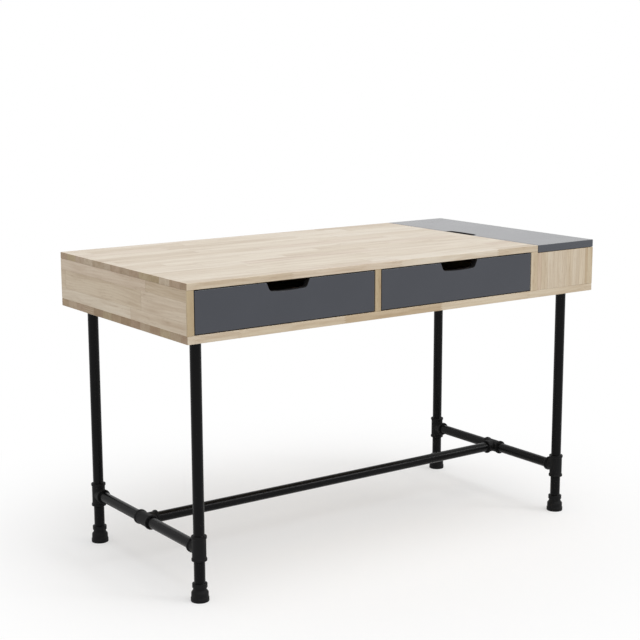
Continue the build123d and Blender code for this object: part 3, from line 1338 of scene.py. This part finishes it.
@dataclass(frozen=True)
class ReducingFoot:
    """A reducing coupling stood on its wide end, with a pipe socket in its upper end.

    Attributes:
        bore, wide_bore, wide_bore_depth: the socket, and the open wide end below it.
        band_radius, band_height: the thick band round the wide mouth.
        barrel_radius, barrel_height: the wide part above the band.
        neck_radius, neck_floor: the waist.
        collar_radius, collar_floor, height: the band round the narrow mouth.
        lip: size of the steps beside the bands and of the chamfer in the socket's mouth.
        rounding: size of the casting's roundings.
    """

    bore: float = 13.5 * MM
    wide_bore: float = 16.9 * MM
    wide_bore_depth: float = 16 * MM
    band_radius: float = 21.8 * MM
    band_height: float = 9 * MM
    barrel_radius: float = 20.5 * MM
    barrel_height: float = 21.5 * MM
    neck_radius: float = 15.9 * MM
    neck_floor: float = 28 * MM
    collar_radius: float = 18 * MM
    collar_floor: float = 32 * MM
    height: float = 43 * MM
    lip: float = 1.2 * MM
    rounding: float = 1.1 * MM

    def build(self, name: str) -> bpy.types.Object:
        """Make the coupling.

        Args:
            name: name of the piece.

        Returns:
            The coupling, its wide mouth on the floor.
        """
        outline = [
            (self.wide_bore, 0.0),
            (self.band_radius, 0.0),
            (self.band_radius, self.band_height),
            (self.barrel_radius, self.band_height + self.lip),
            (self.barrel_radius, self.barrel_height),
            (self.neck_radius, self.neck_floor),
            (self.neck_radius, self.collar_floor),
            (self.collar_radius, self.collar_floor + self.lip),
            (self.collar_radius, self.height),
            (self.bore + self.lip, self.height),
            (self.bore, self.height - self.lip),
            (self.bore, self.wide_bore_depth),
            (self.wide_bore, self.wide_bore_depth),
        ]
        foot = turn(name, outline)
        soften(foot, self.rounding, angle=20.0, segments=3)
        shade(foot, angle=50.0)
        return foot


@dataclass(frozen=True)
class CastTee:
    """A malleable iron tee, its run along Z and its branch along +X.

    Attributes:
        bore: radius of the sockets.
        reach: from the middle to each mouth.
        run_wall, branch_wall: metal round the bore.
        bead_rise, bead_width: the band round each mouth.
        lip: depth of the chamfer in each mouth.
        grain: size of the voxels that round the casting's corners.
    """

    bore: float = 13.5 * MM
    reach: float = 30 * MM
    run_wall: float = 3.3 * MM
    branch_wall: float = 2.7 * MM
    bead_rise: float = 1.8 * MM
    bead_width: float = 6 * MM
    lip: float = 1.3 * MM
    grain: float = 0.8 * MM

    def build(self, name: str) -> bpy.types.Object:
        """Make the tee: cast round outside, then bored.

        Args:
            name: name of the piece.

        Returns:
            The tee, its middle at the origin.
        """
        run_body, branch_body = self.bore + self.run_wall, self.bore + self.branch_wall
        rim = run_body + self.bead_rise
        shoulder = self.reach - self.bead_width
        arm = [(rim, self.reach), (rim, shoulder), (run_body, shoulder)]
        tee = turn(name, arm + [(radius, -height) for radius, height in reversed(arm)], solid=True)
        arm = [(branch_body, 0.0), (branch_body, shoulder), (rim, shoulder), (rim, self.reach)]
        cut(tee, place(turn("branch", arm, solid=True), turned_to(Axis.X)), "UNION")
        apply_modifier(tee, "REMESH", mode="VOXEL", voxel_size=self.grain)
        apply_modifier(tee, "SMOOTH", factor=0.5, iterations=5)
        apply_modifier(tee, "DECIMATE", ratio=0.25)
        mouth = [(self.bore, self.reach - self.lip), (self.bore + 2 * self.lip, self.reach + self.lip)]
        through = [(radius, -height) for radius, height in reversed(mouth)] + mouth
        cut(tee, turn("bore", through, solid=True))
        cut(tee, place(turn("bore", [(self.bore, 0.0), *mouth], solid=True), turned_to(Axis.X)))
        shade(tee, angle=40.0)
        return tee


@dataclass(frozen=True)
class Pipe:
    """A length of pipe along Z, with a few turns of thread showing where it leaves a fitting.

    Attributes:
        radius, wall, length: its size.
        socket_depth: how far it goes into a fitting.
        threaded: whether its lower and its upper end are threaded.
        pitch, depth, turns: the thread, and how many turns of it are made.
        hidden: how much of them the fitting covers.
    """

    radius: float
    wall: float
    length: float
    socket_depth: float
    threaded: tuple[bool, bool] = (True, True)
    pitch: float = 1.8 * MM
    depth: float = 0.6 * MM
    turns: int = 3
    hidden: float = 3 * MM

    def build(self, name: str) -> bpy.types.Object:
        """Make the pipe.

        Args:
            name: name of the piece.

        Returns:
            The pipe, its lower end at the origin.
        """
        bore = self.radius - self.wall
        outline = [(bore, 0.0), (self.radius, 0.0)]
        if self.threaded[0]:
            outline += self._thread()
        if self.threaded[1]:
            outline += [(radius, self.length - height) for radius, height in reversed(self._thread())]
        outline += [(self.radius, self.length), (bore, self.length)]
        pipe = turn(name, outline, segments=56)
        shade(pipe, angle=25.0)
        return pipe

    def _thread(self) -> list[tuple[float, float]]:
        """Lay out the thread.

        Returns:
            Radius and height of its crests and roots, measured from the pipe's end.
        """
        first = self.socket_depth - self.hidden
        points = [(self.radius, first)]
        for number in range(self.turns):
            points.append((self.radius - self.depth, first + (number + 0.5) * self.pitch))
            points.append((self.radius, first + (number + 1) * self.pitch))
        return points


# ---------------------------------------------------------------- sub-assemblies
@dataclass
class PipeFrame:
    """The legs, feet, fittings and stretchers.

    Attributes:
        pipe_wall, socket_depth: the pipe, and how far it goes into a fitting.
        tee, foot: the cast fittings.
        plate_corner, plate_edge: how much is cut off a plate's corners, and the rounding of its edges.
        weld_throat: size of the weld between a leg and its plate.
        screw, screw_inset: the screws of a plate, and how far they sit from its sides.
        seat_depth: how deep their seats are.
    """

    pipe_wall: float = 2.9 * MM
    socket_depth: float = 14 * MM
    tee: CastTee = CastTee()
    foot: ReducingFoot = ReducingFoot()
    plate_corner: float = 10 * MM
    plate_edge: float = 0.5 * MM
    weld_throat: float = 1.8 * MM
    screw: ScrewHead = ScrewHead(radius=4.4 * MM, sink=2.6 * MM)
    screw_inset: float = 13 * MM
    seat_depth: float = 3.12 * MM

    def __post_init__(self) -> None:
        """Read the frame's places and make its finishes."""
        low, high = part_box("front_left_leg")
        self.pipe_radius = (high.x - low.x) / 2
        self.level = middle("long_stretcher").z
        corners = [f"{depth}_{side}" for depth in ("front", "back") for side in ("left", "right")]
        self.corners = {corner: middle(f"{corner}_leg") for corner in corners}
        self.plate_low, self.plate_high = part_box("leg_plates")
        self.plate_half = self.plate_high.x - self.corners["front_right"].x
        self.casting = BlackCasting().build()
        self.pipe_skin = {axis: BlackPipe(f"black_pipe_{axis.name.lower()}", axis).build() for axis in Axis}

    def build(self) -> None:
        """Build and dress every piece of the frame."""
        self._feet_and_tees()
        self._pipes()
        self._plates()

    def _set(
        self, pattern: bpy.types.Object, name: str, at: Matrix, node: str, slot: Slot = Slot.CASTING
    ) -> None:
        """Copy a cast or plate pattern to its place, standing for a CAD node."""
        hand_over(duplicate(pattern, name, at), "frame", self.casting, slot, node)

    def _feet_and_tees(self) -> None:
        """Feet and tees, each modelled once and copied."""
        foot = self.foot.build("foot_pattern")
        tee = self.tee.build("tee_pattern")
        for corner, spot in self.corners.items():
            self._set(foot, f"{corner}_foot", Matrix.Translation((spot.x, spot.y, 0.0)), "feet")
            inward = turned_about(Axis.Z, math.copysign(math.pi / 2, -spot.y))
            at_level = Matrix.Translation((spot.x, spot.y, self.level)) @ inward
            self._set(tee, f"{corner}_tee", at_level, "leg_tees")
        lying = turned_about(Axis.X, math.pi / 2)
        for side in ("left", "right"):
            x = self.corners[f"front_{side}"].x
            inward = turned_about(Axis.Z, math.pi if x > 0 else 0.0)
            halfway = Matrix.Translation((x, 0.0, self.level)) @ inward @ lying
            self._set(tee, f"{side}_middle_tee", halfway, "middle_tees")
        for pattern in (foot, tee):
            bpy.data.objects.remove(pattern)

    def _pipe(
        self, name: str, start: Vector, end: Vector, node: str, threaded: tuple[bool, bool] = (True, True)
    ) -> None:
        """Run one length of pipe between two points.

        Args:
            name: name of the pipe.
            start, end: the points.
            node: the CAD node that it stands for.
            threaded: whether its start and its end are threaded.
        """
        path = end - start
        run = next(axis for axis in Axis if abs(path[axis.value]) > 0.5 * path.length)
        pipe = Pipe(self.pipe_radius, self.pipe_wall, path.length, self.socket_depth, threaded).build(name)
        place(pipe, Matrix.Translation(start) @ turned_to(run, path[run.value] < 0))
        hand_over(pipe, "frame", self.pipe_skin[run], Slot.PIPE, node)

    def _pipes(self) -> None:
        """Legs, the short nipples under them, the side stretchers and the long one."""
        nipple_low, nipple_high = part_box("foot_nipples")
        for corner, spot in self.corners.items():
            low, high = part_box(f"{corner}_leg")
            start, end = (Vector((spot.x, spot.y, z)) for z in (low.z, high.z))
            self._pipe(f"{corner}_leg_pipe", start, end, f"{corner}_leg", (True, False))
            start, end = (Vector((spot.x, spot.y, z)) for z in (nipple_low.z, nipple_high.z))
            self._pipe(f"{corner}_nipple", start, end, "foot_nipples")
            side = corner.split("_")[1]
            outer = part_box(f"{side}_stretchers")[0 if spot.y < 0 else 1].y
            inner = math.copysign(self.tee.reach - self.socket_depth, spot.y)
            start, end = (Vector((spot.x, y, self.level)) for y in (outer, inner))
            self._pipe(f"{corner}_stretcher", start, end, f"{side}_stretchers")
        low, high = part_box("long_stretcher")
        start, end = (Vector((x, 0.0, self.level)) for x in (low.x, high.x))
        self._pipe("long_stretcher_pipe", start, end, "long_stretcher")

    def _plate(self) -> bpy.types.Object:
        """Make a square plate with cut corners, four countersunk seats and a weld.

        Returns:
            The plate, its middle over the origin.
        """
        low = self.plate_low.z
        thickness = self.plate_high.z - low
        size = Vector((2 * self.plate_half, 2 * self.plate_half, thickness))
        plate = block("plate_pattern", Vector((0, 0, low + thickness / 2)), size)

        def upright(edge: bpy.types.MeshEdge) -> bool:
            """Whether an edge stands at a corner of the plate."""
            start, end = (plate.data.vertices[index].co for index in edge.vertices)
            return abs(start.z - end.z) > thickness / 2

        pick(plate, "EDGE", upright)
        bpy.ops.mesh.bevel(offset=self.plate_corner, segments=1, affect="EDGES")
        bpy.ops.object.mode_set(mode="OBJECT")
        soften(plate, self.plate_edge)
        for seat in self._seats():
            self.screw.countersink(plate, seat, self.seat_depth)
        ring = [(self.pipe_radius, 0.0), (self.pipe_radius + self.weld_throat, 0.0)]
        ring.append((self.pipe_radius, -self.weld_throat))
        weld = place(turn("weld", ring), Matrix.Translation((0, 0, low)))
        plate = join([plate, weld], "plate_pattern")
        shade(plate, angle=40.0)
        return plate

    def _seats(self) -> list[Matrix]:
        """Lay out the screws of a plate.

        Returns:
            Where the four of them go, facing down, for a plate over the origin.
        """
        out = self.plate_half - self.screw_inset
        under = turned_about(Axis.X, math.pi)
        corners = [(x * out, y * out, self.plate_low.z) for x in (-1, 1) for y in (-1, 1)]
        return [Matrix.Translation(corner) @ under for corner in corners]

    def _plates(self) -> None:
        """Plates let in flush and welded round the heads of the legs, each held by four screws."""
        plate = self._plate()
        head = self.screw.build("screw_pattern")
        for corner, spot in self.corners.items():
            here = Matrix.Translation((spot.x, spot.y, 0.0))
            self._set(plate, f"{corner}_plate", here, "leg_plates", Slot.PIPE)
            screws = [duplicate(head, "screw", here @ seat) for seat in self._seats()]
            hand_over(join(screws, f"{corner}_plate_screws"), "frame", self.casting, Slot.PIPE)
        for pattern in (plate, head):
            bpy.data.objects.remove(pattern)


@dataclass
class Case:
    """The fixed boards, glued up from rubberwood, their edges eased by hand.

    Attributes:
        nodes: the CAD nodes by name.
        easing: width of the rounding of the edges.
        lipping_width: thickness of the upright lipping on the front edges of sides and dividers.
        upright_stave, upright_length: the upright staves of the bin's front, longer than it is high.
    """

    nodes: dict[str, bpy.types.Object]
    easing: float = 0.5 * MM
    lipping_width: float = 4 * MM
    upright_stave: float = 23 * MM
    upright_length: float = 1200 * MM

    def build(self) -> None:
        """Dress every board with wood of its own."""
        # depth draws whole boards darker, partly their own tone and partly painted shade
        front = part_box("bottom_panel")[0].y + self.lipping_width
        # the top's whitish wash is partly painted sheen
        self._board("top_panel", Axis.X, Axis.Y, seed=19.0, variety=0.65, depth=0.02, wash_and_sheen=0.18)
        self._board("bottom_panel", Axis.X, Axis.Y, seed=24.0, variety=0.95, depth=0.07)
        self._board("drawer_bay_back_panel", Axis.X, Axis.Z, seed=3.0)
        self._board("compartment_back_panel", Axis.X, Axis.Z, seed=4.0)
        self._board("left_side_panel", Axis.Y, Axis.Z, seed=3.0, variety=0.6, depth=0.06, lipping=front)
        self._board("right_side_panel", Axis.Y, Axis.Z, seed=6.0, lipping=front, lipping_tan=0.7)
        self._board("center_divider", Axis.Y, Axis.Z, seed=7.0, depth=0.05, lipping=front)
        self._board("right_divider", Axis.Y, Axis.Z, seed=8.0, lipping=front, lipping_tan=0.4)
        upright = {"stave_width": self.upright_stave, "stave_length": self.upright_length}
        self._board("compartment_front_panel", Axis.Z, Axis.X, seed=9.0, depth=0.07, **upright)

    def _board(self, name: str, grain: Axis, across: Axis, **extras: float) -> None:
        """Ease one board's edges and give it staves that start at its lowest corner.

        Args:
            name: the board's CAD node.
            grain, across: axes that its staves run and lie side by side along.
            extras: what sets its wood apart.
        """
        board = cad_copy(self.nodes[name], f"{name}_board", self.easing)
        wood = WashedRubberwood(f"washed_rubberwood_{name}", grain, across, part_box(name)[0], **extras)
        hand_over(board, "frame", wood.build(), Slot.WOOD, name)


@dataclass
class LacquerWork:
    """The drawer fronts and the lid, with the soft edges that lacquered boards have.

    Attributes:
        nodes: the CAD nodes by name.
        edge: width of the rounding.
    """

    nodes: dict[str, bpy.types.Object]
    edge: float = 0.6 * MM

    def build(self) -> None:
        """Build the three lacquered boards."""
        for side in ("left", "right"):
            node = f"{side}_drawer_front"
            mouth = middle(node)
            mouth.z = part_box(node)[1].z
            # the walls of each notch get painted shade in the lacquer
            notch = FingerNotch(mouth, across=Axis.X, inward=Axis.Z, sense=-1.0, through=Axis.Y)
            self._board(node, f"{side}_drawer", SlateLacquer(f"slate_lacquer_{side}", notch))
        mouth = middle("lid_panel")
        mouth.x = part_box("lid_panel")[0].x
        # the walls of the lid's notch get painted shade in the lacquer
        notch = FingerNotch(mouth, across=Axis.Y, inward=Axis.X, sense=1.0, through=Axis.Z)
        # painted light: the lid has the same lacquer as the fronts, drawn lighter because it catches more
        # light
        lid_lacquer_painted_lighter = SlateLacquer("slate_lacquer_lid", notch, tone(68, 71, 78), tone(74, 77, 84))
        self._board("lid_panel", "lid", lid_lacquer_painted_lighter)

    def _board(self, node: str, body: str, lacquer: SlateLacquer) -> None:
        """One board with its edges rounded and its lacquer on."""
        board = cad_copy(self.nodes[node], f"{node}_lacquered", self.edge)
        hand_over(board, body, lacquer.build(), Slot.LACQUER, node)


@dataclass
class Drawers:
    """The drawer boxes and their ball-bearing runners.

    Attributes:
        nodes: the CAD nodes by name.
        ball_radius, ball_pitch, ball_play: the balls, and their play in the cages.
        ball_arcs: faces of a ball from its middle to its top.
        cage_steel: thickness of a cage's sheet.
        ball_inset: from the back of a cage to the middle of its balls.
    """

    nodes: dict[str, bpy.types.Object]
    ball_radius: float = 2.2 * MM
    ball_pitch: float = 8.5 * MM
    ball_play: float = 0.12 * MM
    ball_arcs: int = 6
    cage_steel: float = 0.6 * MM
    ball_inset: float = 4.85 * MM

    def build(self) -> None:
        """Dress the boxes and rails, and build the cages with their balls."""
        lengthways = DrawerWood("drawer_softwood_y", Axis.Y).build()
        crossways = DrawerWood("drawer_softwood_x", Axis.X).build()
        veneer = DrawerWood("drawer_plywood", Axis.X, tone(216, 196, 160), tone(196, 170, 132)).build()
        zinc = ZincSteel().build()
        for side in ("left", "right"):
            for board in ("left_side", "right_side"):
                dress(self.nodes[f"{side}_drawer_{board}"], lengthways)
            dress(self.nodes[f"{side}_drawer_back"], crossways)
            dress(self.nodes[f"{side}_drawer_bottom"], veneer)
            for rails in ("case_rails", "drawer_rails"):
                dress(self.nodes[f"{side}_{rails}"], zinc)
            self._cages(side, zinc)

    def _cages(self, side: str, zinc: bpy.types.Material) -> None:
        """The two ball cages of one drawer, pierced for their balls, and the balls.

        Args:
            side: which drawer.
            zinc: the finish of both.
        """
        node = f"{side}_ball_cages"
        low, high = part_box(node)
        size = high - low
        count = int(size.y / self.ball_pitch)
        front = (low.y + high.y - (count - 1) * self.ball_pitch) / 2
        first = Vector((low.x + self.ball_inset, front, low.z + self.cage_steel / 2))
        spread = Vector((size.x - 2 * self.ball_inset, self.ball_pitch, size.z - self.cage_steel))
        radius = self.ball_radius
        steps = [step + 0.5 for step in range(-self.ball_arcs, self.ball_arcs)]
        angles = [math.pi / 2 * step / self.ball_arcs for step in steps]
        arc = [(radius * math.cos(angle), radius * math.sin(angle)) for angle in angles]
        balls = self._rows(turn(f"{side}_runner_balls", arc, segments=14, solid=True), first, spread, count)
        shade(balls, angle=60.0)
        pocket = [(radius + self.ball_play, height) for height in (-radius, radius)]
        pockets = turn("pockets", pocket, segments=20, solid=True)
        cages = cad_copy(self.nodes[node], f"{side}_runner_cages")
        cut(cages, self._rows(pockets, first, spread, count))
        shade(cages, angle=30.0)
        hand_over(cages, f"{side}_cages", zinc, Slot.ZINC, node)
        hand_over(balls, f"{side}_cages", zinc, Slot.ZINC)

    @staticmethod
    def _rows(piece: bpy.types.Object, first: Vector, spread: Vector, count: int) -> bpy.types.Object:
        """Repeat a piece along both tracks of both cages.

        Args:
            piece: what is repeated.
            first: place of the lowest, front-most one in the left cage.
            spread: steps to the right cage, to the next ball and to the upper track.
            count: pieces along a track.

        Returns:
            All of them as one piece.
        """
        place(piece, Matrix.Translation(first))
        for axis, number in ((Axis.Y, count), (Axis.X, 2), (Axis.Z, 2)):
            apply_modifier(
                piece,
                "ARRAY",
                count=number,
                use_relative_offset=False,
                use_constant_offset=True,
                constant_offset_displace=axis.vector * spread[axis.value],
            )
        return piece


@dataclass
class LidHinges:
    """The lid's two butt hinges with their screws and pins, and its bumpers.

    Attributes:
        nodes: the CAD nodes by name.
        length, leaf_gap: length of a hinge, and the gap between its closed leaves.
        leaf_edge, pin_edge: rounding of the leaves and of the pins.
        screw: the countersunk heads.
        screw_inset: from the outer edge of a leaf to its screws.
        screw_pitch: from one screw to the next.
        seat_depth: how deep the screws' seats are.
        dome_arcs, dome_angle: faces from a bumper's edge to its top, and how far round they go.
        dome_edge: height of a bumper's upright edge, as a share of the whole.
    """

    nodes: dict[str, bpy.types.Object]
    length: float = 45 * MM
    leaf_gap: float = 0.4 * MM
    leaf_edge: float = 0.2 * MM
    pin_edge: float = 0.4 * MM
    screw: ScrewHead = ScrewHead(radius=2.5 * MM, sink=1.1 * MM)
    screw_inset: float = 5 * MM
    screw_pitch: float = 15 * MM
    seat_depth: float = 2 * MM
    dome_arcs: int = 5
    dome_angle: float = 80.0
    dome_edge: float = 0.3

    def build(self) -> None:
        """Build leaves, screws, pins and bumpers."""
        steel = HingeSteel().build()
        head = self.screw.build("hinge_screw_pattern")
        for node, body, up in (("lid_hinge_leaves", "lid", False), ("case_hinge_leaves", "frame", True)):
            leaves = cad_copy(self.nodes[node], f"{node}_drilled", self.leaf_edge)
            heads = []
            for seat in self._seats(node, up):
                self.screw.countersink(leaves, seat, self.seat_depth)
                heads.append(duplicate(head, "hinge_screw", seat))
            shade(leaves, angle=30.0)
            hand_over(leaves, body, steel, Slot.HINGE, node)
            hand_over(join(heads, f"{node}_screws"), body, steel, Slot.HINGE)
        bpy.data.objects.remove(head)
        pins = cad_copy(self.nodes["hinge_pins"], "hinge_pins_domed", self.pin_edge)
        hand_over(pins, "frame", steel, Slot.HINGE, "hinge_pins")
        self._bumpers()

    def _seats(self, node: str, up: bool) -> list[Matrix]:
        """Where the six screws of one pair of leaves go.

        Args:
            node: the pair's CAD node.
            up: whether the heads face up, as they do in the case.

        Returns:
            Their places, turned so that +Z leaves the wood.
        """
        low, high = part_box(node)
        gap = -self.leaf_gap if up else self.leaf_gap
        face = middle("hinge_pins").z + gap / 2
        flip = turned_about(Axis.X, 0.0 if up else math.pi)
        hinges = (low.y + self.length / 2, high.y - self.length / 2)
        along = [hinge + number * self.screw_pitch for hinge in hinges for number in (-1, 0, 1)]
        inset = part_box("lid_hinge_leaves")[0].x + self.screw_inset
        return [Matrix.Translation((inset, y, face)) @ flip for y in along]

    def _bumpers(self) -> None:
        """Two clear domes on the rim under the lid."""
        low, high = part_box("lid_bumpers")
        radius, rise = (high.x - low.x) / 2, high.z - low.z
        edge, dome_rise = rise * self.dome_edge, rise * (1.0 - self.dome_edge)
        angles = [math.radians(self.dome_angle) * step / self.dome_arcs for step in range(self.dome_arcs + 1)]
        arc = [(radius * math.cos(angle), edge + dome_rise * math.sin(angle)) for angle in angles]
        dome = turn("bumper_pattern", [(radius, 0.0), *arc], segments=32, solid=True)
        plastic = ClearBumper().build()
        for name, y in (("front", low.y + radius), ("back", high.y - radius)):
            spot = Matrix.Translation((low.x + radius, y, low.z))
            bumper = duplicate(dome, f"{name}_lid_bumper", spot)
            shade(bumper, angle=50.0)
            hand_over(bumper, "frame", plastic, Slot.BUMPER, "lid_bumpers")
        bpy.data.objects.remove(dome)


@dataclass
class Studio:
    """Camera, floor, lamps and world.

    Attributes:
        eye: where the camera stands.
        yaw, pitch, roll: how it is turned from looking along +Y, in radians.
        lens, sensor: its focal length and the width of its sensor, in millimetres.
        floor_size: length of the floor's sides.
        key_from: direction that the key light comes from.
        key_level: light that it gives a surface that faces it, where 1 shows a colour as written.
        key_spread: width of the key light seen from the desk, in degrees.
        spark_from, spark_level, spark_spread: the same for the small low light.
        fill_level: light from all round.
        backdrop: brightness of the white background.
    """

    eye: Vector = Vector((-2.1677, -2.9756, 1.252))
    yaw: float = 0.6193
    pitch: float = -0.1851
    roll: float = -0.0027
    lens: float = 80.117
    sensor: float = 36.0
    floor_size: float = 120.0
    key_from: Vector = Vector((0.15, -0.25, 0.957))
    key_level: float = 0.4
    key_spread: float = 50.0
    spark_from: Vector = Vector((0.57, -0.58, 0.58))
    spark_level: float = 0.13
    spark_spread: float = 14.0
    fill_level: float = 0.53
    backdrop: float = 1.0

    def build(self) -> None:
        """Set up everything round the desk."""
        self._camera()
        self._floor()
        self._lamp("key", self.key_from, self.key_level, self.key_spread)
        self._lamp("spark", self.spark_from, self.spark_level, self.spark_spread)
        self._world()
        bpy.context.scene.view_settings.view_transform = "Standard"

    def _camera(self) -> None:
        """The camera."""
        data = bpy.data.cameras.new("camera")
        data.sensor_width = self.sensor
        data.lens = self.lens
        camera = bpy.data.objects.new("camera", data)
        bpy.context.scene.collection.objects.link(camera)
        heading = turned_about(Axis.Z, -self.yaw)
        tilt = turned_about(Axis.X, math.pi / 2 + self.pitch)
        lean = turned_about(Axis.Z, self.roll)
        camera.matrix_world = Matrix.Translation(self.eye) @ heading @ tilt @ lean
        bpy.context.scene.camera = camera

    def _floor(self) -> None:
        """A plain pale floor."""
        clear_selection()
        bpy.ops.mesh.primitive_plane_add(size=self.floor_size)
        floor = newest("floor")
        floor.data.materials.append(StudioFloor().build())

    def _lamp(self, name: str, source: Vector, level: float, spread: float) -> None:
        """Light the desk from far away.

        Args:
            name: name of the lamp.
            source: direction that its light comes from.
            level: light that it gives a surface that faces it.
            spread: how wide it is seen from the desk, in degrees.
        """
        lamp = bpy.data.lights.new(name, "SUN")
        lamp.energy = level * math.pi
        lamp.angle = math.radians(spread)
        lamp_object = bpy.data.objects.new(name, lamp)
        lamp_object.matrix_world = source.to_track_quat("Z", "Y").to_matrix().to_4x4()
        bpy.context.scene.collection.objects.link(lamp_object)

    def _world(self) -> None:
        """Even light from all round, with a white background for the camera and for reflections."""
        world = bpy.data.worlds.new("studio")
        bpy.context.scene.world = world
        graph = Graph(world)
        strength = self.fill_level + graph.seen() * (self.backdrop - self.fill_level)
        light = graph.node("ShaderNodeBackground", None, {"Color": tone(255, 255, 255), "Strength": strength})
        graph.close("ShaderNodeOutputWorld", light)


def main() -> None:
    """Load the frame, build each sub-assembly round it, and set up the studio."""
    logging.basicConfig(level=logging.INFO, format="%(name)s: %(message)s")
    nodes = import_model()["nodes"]
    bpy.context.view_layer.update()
    for assembly in (PipeFrame(), Case(nodes), LacquerWork(nodes), Drawers(nodes), LidHinges(nodes)):
        assembly.build()
        LOG.info("%s done", type(assembly).__name__)
    Studio().build()
    clear_selection()


if __name__ == "__main__":
    main()
